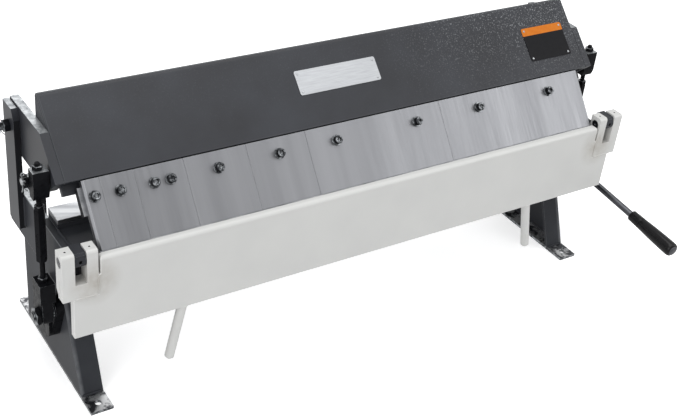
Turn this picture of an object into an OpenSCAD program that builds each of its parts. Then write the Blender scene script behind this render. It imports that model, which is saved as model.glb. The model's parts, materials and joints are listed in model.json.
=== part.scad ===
// Box and pan brake: a hand folding machine for sheet metal.
// X runs along the bend line, Y goes back and Z is up. The origin is the middle of the four
// fixing holes in the foot plates, on the floor.

/* [Main sizes] */
// Length of the whole row of fingers
work_w = 914.4; // [860:0.2:1100]
// Height of the bend line above the floor
bend_h = 280; // [270:1:340]
// Gap between the row of fingers and each end plate
end_gap = 24.3; // [23:0.1:30]

/* [Frame] */
// Thickness of each end plate
end_t = 12; // [8:0.5:14]
// Height of each end plate
end_h = 82; // [70:1:100]
// Front edge of each end plate, behind the bend line
end_front = 12.5; // [12:0.5:16]
// Length of each end plate, front to back
end_len = 253.5; // [240:0.5:300]
// Thickness of each rear post
post_t = 9.5; // [6:0.5:14]
// Width of each rear post, front to back
post_w = 42; // [36:1:56]
// Height of each rear post above the middle of the beam's pivot
post_top = 32; // [26:1:40]
// How far each rear post laps down over its end plate
post_lap = 57; // [30:1:80]
// Plate thickness of the legs
leg_t = 6; // [4:0.5:8]
// Width of each leg, along the bend line
leg_w = 35.5; // [30:0.5:50]
// Rear edge of each leg, behind the bend line
leg_rear = 245; // [225:1:270]
// Front edge of each leg, ahead of the cross shaft's middle at the shaft's height
leg_ahead = 16.5; // [15.5:0.5:30]
// Lean of each leg's front flange, back for each unit of height
leg_lean_share = 0.42; // [0.3:0.01:0.46]
// Thickness of each foot plate
foot_t = 5; // [3:0.5:10]
// How far each foot plate runs out in front of its leg
foot_front = 39; // [30:1:60]
// How far each foot plate runs out behind its leg
foot_rear = 45; // [30:1:60]
// Radius of the fixing holes in the foot plates
foot_hole_r = 5.25; // [3:0.05:7]
// Distance of each fixing hole from its end of the foot plate
foot_hole_in = 17; // [12:0.5:24]

/* [Bed] */
// Depth of the bed, front to back
bed_d = 132; // [115:1:150]
// Thickness of the deck plate
deck_t = 12; // [6:0.5:16]
// Thickness of the ground bars on top of the deck
bar_t = 15; // [12:0.5:18]
// Width of the nose bar under the fingers
nose_bar_w = 30; // [24:1:36]
// Width of the rear bar
rear_bar_w = 37; // [25:1:45]
// Thickness of the two webs under the deck
web_t = 8; // [5:0.5:12]
// Setback of the front web behind the bend line
web_front = 30; // [26:1:50]

/* [Apron] */
// Thickness of the apron plate
apron_t = 12; // [8:0.5:14]
// Height of the apron plate
apron_h = 128; // [100:1:150]
// Radius of the hinge pins
hinge_r = 8; // [5:0.25:9]
// Width of each inner hinge ear
ear_in_w = 16; // [12:0.5:18]
// Width of each outer hinge ear
ear_out_w = 18.5; // [12:0.5:24]
// Height of the hinge ears above the bend line
ear_top = 15; // [13:0.5:17]
// Length of each apron handle
handle_len = 102; // [80:1:120]
// Radius of each apron handle
handle_r = 7.5; // [5:0.25:9]
// Distance of each handle from the middle of the apron
handle_x = 331; // [200:1:400]
// Outward splay of the handles
handle_splay = 12; // [0:1:20]

/* [Fingers] */
// Slope of the fingers' front face
finger_angle = 51.3; // [49:0.1:55]
// Length of the fingers up their slope
finger_len = 100; // [90:1:104]
// Thickness of the fingers
finger_t = 12; // [8:0.5:14]
// Slit between neighbouring fingers
finger_gap = 0.3; // [0.1:0.1:1]
// Radius of the screws that hold the fingers
screw_r = 4; // [3:0.25:6]
// Width of the rail behind the fingers
rail_w = 40; // [30:1:44]
// Thickness of the rail behind the fingers
rail_t = 12; // [8:0.5:14]
// Thickness of the flange behind the rail
flange_t = 8; // [5:0.5:10]

/* [Clamp beam] */
// Slope of the beam's front face
beam_angle = 43.6; // [40:0.1:46]
// Plate thickness of the beam
beam_t = 7; // [5:0.5:9]
// Outer radius of the beam's top fold
beam_fold_r = 8.5; // [7.5:0.5:14]
// Thickness of each beam arm
arm_t = 13; // [10:0.5:18]
// Depth of each beam arm below its top edge
arm_h = 80; // [70:1:88]
// Middle of the beam's pivot, behind the bend line
pivot_y = 218; // [200:1:236]
// Middle of the beam's pivot, above the bend line
pivot_z = 95; // [85:1:105]
// Radius of the beam's pivot bolts
pivot_r = 6; // [5:0.5:9]

/* [Clamp gear] */
// Radius of the cross shaft
shaft_r = 12; // [10:0.5:13]
// Throw of the eccentric pins
throw = 8; // [6:0.5:9]
// Radius of the eccentric pins
ecc_r = 8; // [6:0.5:9]
// Radius of the link rods
rod_r = 4; // [3:0.25:5]
// Length of each turnbuckle sleeve
sleeve_len = 87; // [60:1:100]
// Size across the flats of the turnbuckle sleeves
sleeve_af = 14; // [12:0.5:16]
// Length of the lever from the shaft's middle to its end
lever_len = 280; // [240:1:300]
// Radius of the lever's rod
lever_r = 6; // [4:0.25:8]
// Length of the lever's grip
grip_len = 106; // [80:1:140]
// Largest radius of the lever's grip
grip_r = 13; // [10:0.5:13.5]

/* [Hidden] */
$fn = 64;

// Gap of a running fit, and of a fixed pin in its hole
fit = 0.05;
snug = 0.02;
// Gap between the flat sides of pieces that pass each other
side_gap = 0.5;
// Height at which the clamped fingers stand off the nose bar
nose_gap = 0.3;
// Setback of the fingers' noses behind the bend line
nose_back = 0.8;
// How far a cutting tool runs past what it cuts
over = 1;

// Stations along the bend line, from the middle to the right end
half_w = work_w / 2;
in_x = half_w + end_gap;
out_x = in_x + end_t;
post_x = out_x + post_t;
leg_x = in_x - leg_w;
arm_in = out_x - arm_t - side_gap;
arm_out = out_x - side_gap;

// Heights, measured from the bend line
floor_z = -bend_h;
deck_top = -bar_t;
deck_low = deck_top - deck_t;
end_low = deck_top - end_h;
leg_low = floor_z + foot_t;

// Hinge of the apron
ear_in_x = in_x - side_gap;
ear_out_gap = 5;
ear_out_x = out_x + ear_out_gap;
ear_end_x = ear_out_x + ear_out_w;
ear_side_x = ear_in_x - ear_in_w;
ear_rear_gap = 1.5;
ear_rear = end_front - ear_rear_gap;
ear_round = 5;
slot_floor = -37;
lug_low = -61;
lug_chamfer = 12;
apron_slit_w = 3;
apron_slit_low = -27;
apron_top_round = 6;
apron_corner_r = 5;
apron_past_block = 4;
oil_hole_r = 1.5;
oil_hole_depth = 5;
block_side_gap = 1;
block_in = ear_in_x + block_side_gap;
block_out = ear_out_x - side_gap;
block_front = -10;
block_top = 12.5;
block_flat = 16;
block_back = 30;
block_r = 12;
block_chamfer = 3;
grub_r = 3;
grub_sunk = 1;
pin_end_in = 1;
corner_gap = 7;
corner_clear = ear_top + corner_gap;

// Fingers, counted from the left in inches of the whole row's 36
inch = work_w / 36;
screw_up = 75;
screw_head_r = 1.6 * screw_r;
screw_head_h = 2 * screw_r;
socket_r = 0.9 * screw_r;
socket_depth = 0.8 * screw_r;
washer_r = 2.1 * screw_r;
washer_t = 2;
finger_chamfer = 3;
rail_up = 52;
rail_over = 5;
flange_up = 86;

// Beam section
beam_gap = 1.5;
beam_step = 1.2;
beam_y = nose_back + finger_len * cos(finger_angle) + beam_step;
beam_z = finger_len * sin(finger_angle) + beam_gap;
beam_back = 170;
beam_rear_low = 60;
beam_lip_end = 118;
lip_low = beam_z - beam_t;
lip_up = finger_len + beam_gap;
lip_start = nose_back + (lip_up - (lip_low - nose_gap) * sin(finger_angle)) / cos(finger_angle);
fold_y = beam_back - beam_fold_r;
fold_z = face_z(fold_y) - beam_fold_r / cos(beam_angle);
inner_y = beam_back - beam_t;
inner_z = face_z(inner_y) - beam_t / cos(beam_angle);
lip_inner_y = beam_y + beam_t / sin(beam_angle);
arm_up = 74;
arm_top = beam_z + arm_up * sin(beam_angle);
arm_low = arm_top - arm_h;
arm_heel = 19;
arm_back = pivot_y + arm_heel;
beam_cap_t = 5;
arm_toe_y = 95;

// Plates on the beam's front face
plate_t = 1;
name_x = [-87, 62];
name_s = [52.5, 92];
label_in = 22;
label_w = 90;
label_x = [arm_in - label_in - label_w, arm_in - label_in];
label_s = [29, 89];
plate_corner = 3;
rivet_r = 2;
rivet_h = 1;
rivet_in = 5;

// Rear pivot and swivel fasteners
pivot_head_af = 2.9 * pivot_r;
pivot_flange_r = 2.8 * pivot_r;
pivot_flange_t = 2.5;
pivot_head_t = 8;
pivot_nut_t = 9;
pivot_stub = 6;
split_r = 1.3;
split_over = 5;
split_gap = 0.2;
swivel_y = 105;
swivel_z = 70;
swivel_r = 5;
swivel_shoulder = 5;
swivel_nut_af = 3.4 * swivel_r;
swivel_nut_t = 6.5;
swivel_stub = 1.5;
castle_slot_w = 3.2;

// Links
link_out = 14.5;
link_x = out_x + link_out;
link_y = 91;
block_inward = 12.5;
block_outward = 10.5;
swivel_in = link_x - block_inward;
swivel_out = link_x + block_outward;
swivel_front = 80;
swivel_back = 98;
swivel_boss_r = 9.5;
swivel_top = 94;
swivel_waist = 60;
swivel_low = 50;
swivel_taper = 9;
nut_af = 13;
nut_t = 6.5;
sleeve_top = 29;
sleeve_low = sleeve_top - sleeve_len;
rod_in_sleeve = 20;
eye_y = link_y;
eye_z = -154.55;
eye_drift = 2.1;
eye_bore_r = ecc_r + eye_drift;
eye_wall = 5;
eye_r = eye_bore_r + eye_wall;
eye_t = 16;
eye_top = -94;

// Cross shaft: its middle, found from the eccentric pin and the throw
start_angle = 30;
shaft_y = eye_y + throw * sin(start_angle);
shaft_z = eye_z + throw * cos(start_angle);

// Front edges of the legs and of the foot plates
leg_foot_y = shaft_y - leg_ahead - (shaft_z - leg_low) * leg_lean_share;
foot_y = leg_foot_y - foot_front;
foot_len = leg_rear + foot_rear - foot_y;
hole_mid_y = foot_y + foot_len / 2;

// Eccentric discs and bearing brackets
disc_wall = 4;
disc_r = ecc_r + throw + disc_wall;
eye_step_gap = 1;
eye_step = shaft_z + disc_r + eye_step_gap;
hanger_t = 14;
hanger_out = in_x + hanger_t;
disc_in = hanger_out + side_gap;
disc_out = link_x - eye_t / 2 - side_gap;
hanger_wall = 3;
hanger_r = shaft_r + hanger_wall;
hanger_back = 37;
hanger_drop = 42.5;
hanger_end = [shaft_y + hanger_back, shaft_z - hanger_drop];
hanger_end_r = 34;
hanger_end_t = 18;
hanger_flat = 32;
leg_hole_gap = 1;
leg_hole_r = shaft_r + leg_hole_gap;
ecc_nut_af = 26;
ecc_nut_in = link_x + eye_t / 2 + side_gap;
ecc_nut_t = 7.5;
ecc_stub = 3;

// Lever
lever_out = 42.5;
lever_x = out_x + lever_out;
lever_drop = 6;
hub_r = disc_r;
hub_w = 19;
hub_out = lever_x + hub_w / 2;
hub_in = lever_x - hub_w / 2;
grip_flare = 3;
grip_neck_r = grip_r - grip_flare;
grip_seam_share = 0.24;
grip_seam_w = 1.5;
grip_seam_depth = 0.8;
cap_r = 9;
cap_t = 3;
hub_grip = 6;

// Colours
steel = "silver";
ground = "gainsboro";
beam_grey = "dimgray";
black = "#26282a";
pale = "#d5d7d8";

// Mirror image for the left side, as drawn for the right side
module on_side(side) {
    mirror([side < 0 ? 1 : 0, 0, 0]) children();
}

module on_both() {
    for (side = [-1, 1]) on_side(side) children();
}

// Frame of the bend line, in which the pieces are drawn
module from_bend() {
    translate([0, -hole_mid_y, bend_h]) children();
}

// A flat outline drawn in Y and Z, made solid from one X to another
module across(x0, x1) {
    translate([x0, 0, 0]) rotate([90, 0, 90]) linear_extrude(x1 - x0) children();
}

// A round bar along X
module bar_x(x0, x1, y, z, r) {
    translate([x0, y, z]) rotate([0, 90, 0]) cylinder(h = x1 - x0, r = r);
}

// A hexagonal bar along X, by its size across the flats
module hex_x(x0, x1, y, z, af) {
    translate([x0, y, z]) rotate([0, 90, 0]) cylinder(h = x1 - x0, d = af / cos(30), $fn = 6);
}

// A flat-sided ring or nut along Z
module hex_z(z0, z1, af) {
    translate([link_x, link_y, z0]) cylinder(h = z1 - z0, d = af / cos(30), $fn = 6);
}

module rod_z(z0, z1, r) {
    translate([link_x, link_y, z0]) cylinder(h = z1 - z0, r = r);
}

// Frame of the fingers: Y runs up their slope and Z stands out of their front face
module on_fingers() {
    translate([0, nose_back, nose_gap]) rotate([finger_angle, 0, 0]) children();
}

// Frame of the beam's front face
module on_beam() {
    translate([0, beam_y, beam_z]) rotate([beam_angle, 0, 0]) children();
}

// Four corners of the band that touches two circles
function band(a, ra, b, rb) =
    let (run = norm(b - a), base = atan2(b[1] - a[1], b[0] - a[0]), turn = acos((ra - rb) / run))
    [for (side = [1, -1]) a + ra * [cos(base + side * turn), sin(base + side * turn)],
     for (side = [-1, 1]) b + rb * [cos(base + side * turn), sin(base + side * turn)]];

// Frame

module end_plate() {
    color(beam_grey) from_bend() across(in_x, out_x)
        translate([end_front, end_low]) square([end_len, end_h]);
}

module leg() {
    run = deck_low - leg_low;
    lean = run * leg_lean_share;
    color(beam_grey) from_bend() difference() {
        union() {
            across(in_x - leg_t, in_x) polygon([
                [leg_foot_y, leg_low], [leg_rear, leg_low],
                [leg_rear, deck_low], [leg_foot_y + lean, deck_low]]);
            across(leg_x, in_x - leg_t) {
                polygon([
                    [leg_foot_y, leg_low], [leg_foot_y + leg_t, leg_low],
                    [leg_foot_y + leg_t + lean, deck_low], [leg_foot_y + lean, deck_low]]);
                translate([leg_rear - leg_t, leg_low]) square([leg_t, run]);
            }
        }
        bar_x(leg_x - over, in_x + over, shaft_y, shaft_z, leg_hole_r);
    }
}

module foot_plates() {
    color(steel) from_bend() on_both() difference() {
        translate([leg_x, foot_y, floor_z]) cube([leg_w, foot_len, foot_t]);
        for (y = [foot_y + foot_hole_in, foot_y + foot_len - foot_hole_in])
            translate([leg_x + leg_w / 2, y, floor_z - over])
                cylinder(h = foot_t + 2 * over, r = foot_hole_r);
    }
}

module rear_posts() {
    front = pivot_y - post_w / 2;
    top = pivot_z + post_top;
    bevel_share = [0.2, 0.38];
    color(beam_grey) from_bend() on_both() difference() {
        across(out_x, post_x) polygon([
            [front, deck_top - post_lap], [front + post_w, deck_top - post_lap], [front + post_w, top],
            [front + post_w * bevel_share[0], top], [front, top - post_w * bevel_share[1]]]);
        bar_x(out_x - over, post_x + over, pivot_y, pivot_z, pivot_r + snug);
    }
}

module bed_deck() {
    front = nose_gap + side_gap;
    corner_x = ear_side_x - side_gap - apron_slit_w;
    color(beam_grey) from_bend() translate([0, 0, deck_low]) linear_extrude(deck_t) polygon([
        [-corner_x, front], [corner_x, front], [corner_x, corner_clear], [in_x, corner_clear],
        [in_x, bed_d], [-in_x, bed_d], [-in_x, corner_clear], [-corner_x, corner_clear]]);
}

module bed_front_web() {
    color(beam_grey) from_bend() translate([-in_x, web_front, end_low])
        cube([2 * in_x, web_t, deck_low - end_low]);
}

module bed_rear_web() {
    color(beam_grey) from_bend() translate([-leg_x, bed_d - web_t, end_low])
        cube([2 * leg_x, web_t, deck_low - end_low]);
}

module bed_nose_bar() {
    color(ground) from_bend() translate([-half_w, nose_gap, deck_top]) cube([work_w, nose_bar_w, bar_t]);
}

module bed_rear_bar() {
    color(ground) from_bend() translate([-in_x, bed_d - rear_bar_w, deck_top])
        cube([2 * in_x, rear_bar_w, bar_t]);
}

// Knuckle on the front of the end plate, round the hinge's axis
module hinge_block() {
    color(beam_grey) from_bend() difference() {
        across(block_in, block_out) {
            circle(r = block_r);
            polygon([
                [0, -block_r], [end_front, -block_r], [end_front, deck_top], [block_back, deck_top],
                [block_flat, block_top], [block_front + block_chamfer, block_top],
                [block_front, block_top - block_chamfer], [block_front, 0]]);
        }
        bar_x(block_in - over, block_out + over, 0, 0, hinge_r + snug);
        translate([(block_in + block_out) / 2, -2 * block_r, 0])
            rotate([-90, 0, 0]) cylinder(h = 2 * block_r, r = grub_r + snug);
    }
}

module hinge_pins() {
    color(steel) from_bend() on_both() bar_x(ear_side_x + pin_end_in, ear_end_x - pin_end_in, 0, 0, hinge_r);
}

module hinge_grub_screws() {
    front = -sqrt(block_r * block_r - grub_r * grub_r) + grub_sunk;
    seat = -hinge_r - fit;
    color(black) from_bend() on_both() translate([(block_in + block_out) / 2, front, 0])
        rotate([-90, 0, 0]) difference() {
            cylinder(h = seat - front, r = grub_r);
            translate([0, 0, -over]) cylinder(h = over + (seat - front) / 2, d = grub_r, $fn = 6);
        }
}

// Bearing brackets that carry the cross shaft outside the legs, each with a thick rounded foot
module shaft_hangers() {
    middle = [shaft_y, shaft_z];
    color(black) from_bend() on_both() difference() {
        union() {
            across(in_x, hanger_out) {
                translate(middle) circle(r = hanger_r);
                polygon(band(middle, hanger_r, hanger_end, hanger_end_r));
            }
            across(in_x, in_x + hanger_end_t) translate(hanger_end) difference() {
                circle(r = hanger_end_r);
                translate([-hanger_flat - hanger_end_r, -hanger_end_r])
                    square([hanger_end_r, 2 * hanger_end_r]);
            }
        }
        bar_x(in_x - over, hanger_out + over, shaft_y, shaft_z, shaft_r + fit);
    }
}

// Rear pivot

module split_pin_hole(x, y, z) {
    translate([x, y, z]) cylinder(h = 4 * (pivot_r + split_over), r = split_r + split_gap, center = true);
}

module pivot_bolts() {
    seat = arm_in - side_gap;
    flange_x = seat - pivot_flange_t;
    end = post_x + pivot_nut_t + pivot_stub;
    color(black) from_bend() on_both() difference() {
        union() {
            hex_x(flange_x - pivot_head_t, flange_x, pivot_y, pivot_z, pivot_head_af);
            bar_x(flange_x, seat, pivot_y, pivot_z, pivot_flange_r);
            bar_x(seat, end, pivot_y, pivot_z, pivot_r);
        }
        split_pin_hole(end - pivot_stub / 2, pivot_y, pivot_z);
    }
}

module pivot_nuts() {
    color(black) from_bend() on_both() difference() {
        hex_x(post_x, post_x + pivot_nut_t, pivot_y, pivot_z, pivot_head_af);
        bar_x(post_x - over, post_x + pivot_nut_t + over, pivot_y, pivot_z, pivot_r + snug);
    }
}

module split_pin(x, y, z, bolt_r) {
    reach = bolt_r + split_over;
    translate([x, y, z - reach]) cylinder(h = 2 * reach, r = split_r);
    translate([x, y, z + reach]) sphere(r = 1.5 * split_r);
}

module pivot_split_pins() {
    color(steel) from_bend() on_both()
        split_pin(post_x + pivot_nut_t + pivot_stub / 2, pivot_y, pivot_z, pivot_r);
}

// Clamp beam

module beam_section() {
    reach = beam_fold_r + over;
    difference() {
        polygon([
            [lip_start, lip_low], [beam_y + beam_t * sin(beam_angle), beam_z - beam_t * cos(beam_angle)],
            [beam_y, beam_z], [beam_back, face_z(beam_back)],
            [beam_back, beam_rear_low], [inner_y, beam_rear_low], [inner_y, lip_low]]);
        translate([fold_y, fold_z]) difference() {
            polygon([
                [0, 0], [-reach * sin(beam_angle), reach * cos(beam_angle)],
                [reach, face_z(beam_back + over) + over / cos(beam_angle) - fold_z], [reach, 0]]);
            circle(r = beam_fold_r);
        }
        beam_hollow(lip_low - over);
    }
}

// Height of the beam's front face at a place behind the bend line
function face_z(y) = beam_z + (y - beam_y) * tan(beam_angle);

// Hollow inside the beam's section, down to a given height
module beam_hollow(low) {
    polygon([
        [lip_inner_y, beam_z], [inner_y, inner_z], [inner_y, low],
        [beam_lip_end, low], [beam_lip_end, beam_z]]);
}

module clamp_beam() {
    color(beam_grey) from_bend() across(-arm_in, arm_in) beam_section();
}

// Plates that close the beam's two ends
module beam_end_caps() {
    color(beam_grey) from_bend() on_both() across(arm_in - beam_cap_t, arm_in) beam_hollow(lip_low);
}

module beam_arm() {
    color(beam_grey) from_bend() difference() {
        across(arm_in, arm_out) polygon([
            [beam_y, beam_z], [beam_y + arm_up * cos(beam_angle), arm_top], [arm_back, arm_top],
            [arm_back, arm_low], [arm_toe_y, arm_low]]);
        bar_x(arm_in - over, arm_out + over, pivot_y, pivot_z, pivot_r + fit);
        bar_x(arm_in - over, arm_out + over, swivel_y, swivel_z, swivel_r + snug);
    }
}

// Places up the fingers' slope and behind their face, as points in Y and Z
function slope_point(up, behind) = [
    nose_back + up * cos(finger_angle) + behind * sin(finger_angle),
    nose_gap + up * sin(finger_angle) - behind * cos(finger_angle)];
function up_at(z, behind) = (z - nose_gap + behind * cos(finger_angle)) / sin(finger_angle);

module finger_flange() {
    near = finger_t + rail_t;
    far = near + flange_t;
    color(beam_grey) from_bend() across(-arm_in, arm_in) polygon([
        slope_point(flange_up, near), slope_point(up_at(lip_low, near), near),
        slope_point(up_at(lip_low, far), far), slope_point(flange_up, far)]);
}

// Places of the screws along the row, from its left end, in inches of the 36
screw_shares = [0.5, 2, 4, 5, 8, 12, 16, 22, 27, 33];

module at_screws() {
    for (share = screw_shares) translate([share * inch - half_w, screw_up, 0]) children();
}

module finger_rail() {
    color(ground) from_bend() on_fingers() difference() {
        translate([-half_w - rail_over, rail_up, -finger_t - rail_t])
            cube([work_w + 2 * rail_over, rail_w, rail_t]);
        at_screws() translate([0, 0, -finger_t - rail_t - over])
            cylinder(h = rail_t + 2 * over, r = screw_r + snug);
    }
}

module finger(start_share, end_share) {
    first = start_share == 0;
    last = end_share == 36;
    x0 = start_share * inch - half_w + (first ? 0 : finger_gap / 2);
    x1 = end_share * inch - half_w - (last ? 0 : finger_gap / 2);
    side = 2 * finger_len;
    edge = finger_chamfer * sqrt(2);
    color(steel) from_bend() difference() {
        across(x0, x1) polygon([
            slope_point(0, 0), slope_point(finger_len, 0), slope_point(finger_len, finger_t),
            slope_point(up_at(nose_gap, finger_t), finger_t)]);
        on_fingers() {
            at_screws() translate([0, 0, -finger_t - over])
                cylinder(h = finger_t + 2 * over, r = screw_r + side_gap);
            if (first) translate([x0, -over, 0]) rotate([0, 45, 0])
                translate([-edge / 2, 0, -edge / 2]) cube([edge, side, edge]);
            if (last) translate([x1, -over, 0]) rotate([0, 45, 0])
                translate([-edge / 2, 0, -edge / 2]) cube([edge, side, edge]);
        }
    }
}

module finger_screws() {
    color(black) from_bend() on_fingers() at_screws() difference() {
        union() {
            translate([0, 0, washer_t]) cylinder(h = screw_head_h, r = screw_head_r);
            translate([0, 0, -finger_t - rail_t]) cylinder(h = finger_t + rail_t + washer_t, r = screw_r);
        }
        translate([0, 0, washer_t + screw_head_h - socket_depth])
            cylinder(h = socket_depth + over, r = socket_r, $fn = 6);
    }
}

module finger_washers() {
    color(black) from_bend() on_fingers() at_screws() difference() {
        cylinder(h = washer_t, r = washer_r);
        translate([0, 0, -over]) cylinder(h = washer_t + 2 * over, r = screw_r + snug);
    }
}

// A thin plate on the beam's front face, with rounded corners and a rivet hole near each corner
module face_plate(x, s) {
    on_beam() linear_extrude(plate_t) difference() {
        union() {
            translate([x[0] + plate_corner, s[0]]) square([x[1] - x[0] - 2 * plate_corner, s[1] - s[0]]);
            translate([x[0], s[0] + plate_corner]) square([x[1] - x[0], s[1] - s[0] - 2 * plate_corner]);
            at_corners(x, s, plate_corner) circle(r = plate_corner);
        }
        at_corners(x, s, rivet_in) circle(r = rivet_r + snug);
    }
}

// Four places near a plate's corners, a distance in from its edges
module at_corners(x, s, in) {
    for (px = [x[0] + in, x[1] - in], ps = [s[0] + in, s[1] - in]) translate([px, ps]) children();
}

module nameplate() {
    color(pale) from_bend() face_plate(name_x, name_s);
}

module label_plate() {
    color("orange") from_bend() face_plate(label_x, label_s);
}

module plate_rivets() {
    color(steel) from_bend() on_beam() for (place = [[name_x, name_s], [label_x, label_s]])
        at_corners(place[0], place[1], rivet_in) cylinder(h = plate_t + rivet_h, r = rivet_r);
}

// Swivels and links

module swivel_pins() {
    end = swivel_out + side_gap + swivel_nut_t + swivel_stub;
    color(steel) from_bend() on_both() difference() {
        union() {
            bar_x(arm_in, end, swivel_y, swivel_z, swivel_r);
            bar_x(arm_out, swivel_in - side_gap, swivel_y, swivel_z, swivel_r + swivel_shoulder);
        }
        split_pin_hole(end - swivel_stub - castle_slot_w / 2, swivel_y, swivel_z);
    }
}

module swivel_nuts() {
    start = swivel_out + side_gap;
    end = start + swivel_nut_t;
    color(steel) from_bend() on_both() difference() {
        translate([0, swivel_y, swivel_z]) rotate([30, 0, 0]) hex_x(start, end, 0, 0, swivel_nut_af);
        bar_x(start - over, end + over, swivel_y, swivel_z, swivel_r + snug);
        for (turn = [30, 90, 150]) translate([end - castle_slot_w, swivel_y, swivel_z]) rotate([turn, 0, 0])
            translate([0, -swivel_nut_af, -castle_slot_w / 2])
                cube([castle_slot_w + over, 2 * swivel_nut_af, castle_slot_w]);
    }
}

module swivel_split_pins() {
    end = swivel_out + side_gap + swivel_nut_t;
    reach = swivel_nut_af / 2 + split_over / 2;
    color(steel) from_bend() on_both() translate([end - castle_slot_w / 2, swivel_y, swivel_z - reach])
        cylinder(h = 2 * reach, r = split_r);
}

module swivel_block() {
    color(black) from_bend() difference() {
        union() {
            across(swivel_in, swivel_out) polygon([
                [swivel_front, swivel_waist], [swivel_front, swivel_top], [swivel_back, swivel_top],
                [swivel_back, swivel_waist], [swivel_back - swivel_taper / 3, swivel_low],
                [swivel_front + swivel_taper / 3, swivel_low]]);
            bar_x(swivel_in, swivel_out, swivel_y, swivel_z, swivel_boss_r);
        }
        bar_x(swivel_in - over, swivel_out + over, swivel_y, swivel_z, swivel_r + fit);
        rod_z(swivel_low - over, swivel_top + over, rod_r + snug);
    }
}

module upper_rod() {
    color(black) from_bend() rod_z(sleeve_top - rod_in_sleeve, swivel_top + nut_t + rod_r, rod_r);
}

module turnbuckle() {
    color(black) from_bend() difference() {
        hex_z(sleeve_low, sleeve_top, sleeve_af);
        rod_z(sleeve_low - over, sleeve_top + over, rod_r + fit);
    }
}

module eye_rod() {
    color(black) from_bend() {
        rod_z(eye_top - over, sleeve_low + rod_in_sleeve, rod_r);
        across(swivel_in, swivel_out)
            translate([eye_y - eye_r, eye_step]) square([2 * eye_r, eye_top - eye_step]);
        difference() {
            across(link_x - eye_t / 2, link_x + eye_t / 2) {
                translate([eye_y, eye_z]) circle(r = eye_r);
                translate([eye_y - eye_r, eye_z]) square([2 * eye_r, eye_top - eye_z]);
            }
            bar_x(link_x - eye_t, link_x + eye_t, eye_y, eye_z, eye_bore_r);
        }
    }
}

module link_nuts() {
    color(steel) from_bend() for (z = [swivel_top, sleeve_top, eye_top]) difference() {
        hex_z(z, z + nut_t, nut_af);
        rod_z(z - over, z + nut_t + over, rod_r + snug);
    }
}

// Cross shaft with its eccentric pins, and the lever

module cross_shaft() {
    color(black) from_bend() {
        bar_x(-disc_in, disc_in, shaft_y, shaft_z, shaft_r);
        on_both() bar_x(disc_in, disc_out, shaft_y, shaft_z, disc_r);
        on_side(-1) bar_x(disc_out, ecc_nut_in + ecc_nut_t + ecc_stub, eye_y, eye_z, ecc_r);
        bar_x(disc_out, hub_out, eye_y, eye_z, ecc_r);
    }
}

module eccentric_nuts() {
    color(steel) from_bend() on_both() difference() {
        hex_x(ecc_nut_in, ecc_nut_in + ecc_nut_t, eye_y, eye_z, ecc_nut_af);
        bar_x(ecc_nut_in - over, ecc_nut_in + ecc_nut_t + over, eye_y, eye_z, ecc_r + snug);
    }
}

// Frame of the lever: Z runs out along it from the middle of the shaft
module on_lever() {
    translate([lever_x, shaft_y, shaft_z]) rotate([90 + lever_drop, 0, 0]) children();
}

module lever_hub() {
    color(black) from_bend() difference() {
        bar_x(hub_in, hub_out, shaft_y, shaft_z, hub_r);
        bar_x(hub_in - over, hub_out + over, eye_y, eye_z, ecc_r + snug);
        on_lever() translate([0, 0, hub_r - hub_grip]) cylinder(h = hub_grip + over, r = lever_r + snug);
    }
}

module lever_rod() {
    color(black) from_bend() on_lever()
        translate([0, 0, hub_r - hub_grip]) cylinder(h = lever_len - cap_t - hub_r + hub_grip, r = lever_r);
}

module lever_grip() {
    start = lever_len - cap_t - grip_len;
    seam = grip_len * grip_seam_share;
    color(black) from_bend() on_lever() translate([0, 0, start]) rotate_extrude() difference() {
        polygon([
            [lever_r + snug, 0], [grip_neck_r, 0], [grip_r, grip_len - grip_neck_r / 2],
            [grip_r - grip_seam_w, grip_len], [lever_r + snug, grip_len]]);
        translate([grip_neck_r + (grip_r - grip_neck_r) * grip_seam_share - grip_seam_depth, seam])
            square([grip_r, grip_seam_w]);
    }
}

module lever_cap() {
    color(steel) from_bend() on_lever() translate([0, 0, lever_len - cap_t]) cylinder(h = cap_t, r = cap_r);
}

// Apron

module apron_plate() {
    upper_x = ear_side_x - apron_slit_w;
    low_x = block_out + apron_past_block;
    color(pale) from_bend() difference() {
        rotate([90, 0, 0]) linear_extrude(apron_t) difference() {
            polygon([
                [-upper_x, 0], [upper_x, 0], [upper_x, apron_slit_low], [ear_side_x, apron_slit_low],
                [ear_side_x, lug_low], [low_x, lug_low], [low_x, -apron_h],
                [-low_x, -apron_h], [-low_x, lug_low], [-ear_side_x, lug_low],
                [-ear_side_x, apron_slit_low], [-upper_x, apron_slit_low]]);
            for (side = [0, 1]) mirror([side, 0])
                translate([upper_x - apron_corner_r, -apron_corner_r]) difference() {
                    square(apron_corner_r + over);
                    circle(r = apron_corner_r);
                }
        }
        across(-upper_x - over, upper_x + over) translate([-apron_t, 0]) difference() {
            translate([-over, -apron_top_round]) square([apron_top_round + over, apron_top_round + over]);
            translate([apron_top_round, -apron_top_round]) circle(r = apron_top_round);
        }
    }
}

module hinge_lug() {
    ears = [[ear_side_x, ear_in_x], [ear_out_x, ear_end_x]];
    color(pale) from_bend() difference() {
        across(ear_side_x, ear_end_x) {
            polygon([
                [-apron_t, lug_low], [0, lug_low], [ear_rear, lug_low + lug_chamfer], [ear_rear, ear_top],
                [ear_round - apron_t, ear_top], [ear_round - apron_t, ear_top - ear_round],
                [-apron_t, ear_top - ear_round]]);
            translate([ear_round - apron_t, ear_top - ear_round]) circle(r = ear_round);
        }
        translate([ear_in_x, -apron_t - over, slot_floor])
            cube([ear_out_x - ear_in_x, apron_t + ear_rear + 2 * over, ear_top - slot_floor + over]);
        bar_x(ear_side_x - over, ear_end_x + over, 0, 0, hinge_r + fit);
        for (ear = ears) translate([(ear[0] + ear[1]) / 2, 0, ear_top - oil_hole_depth])
            cylinder(h = oil_hole_depth + over, r = oil_hole_r);
    }
}

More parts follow.
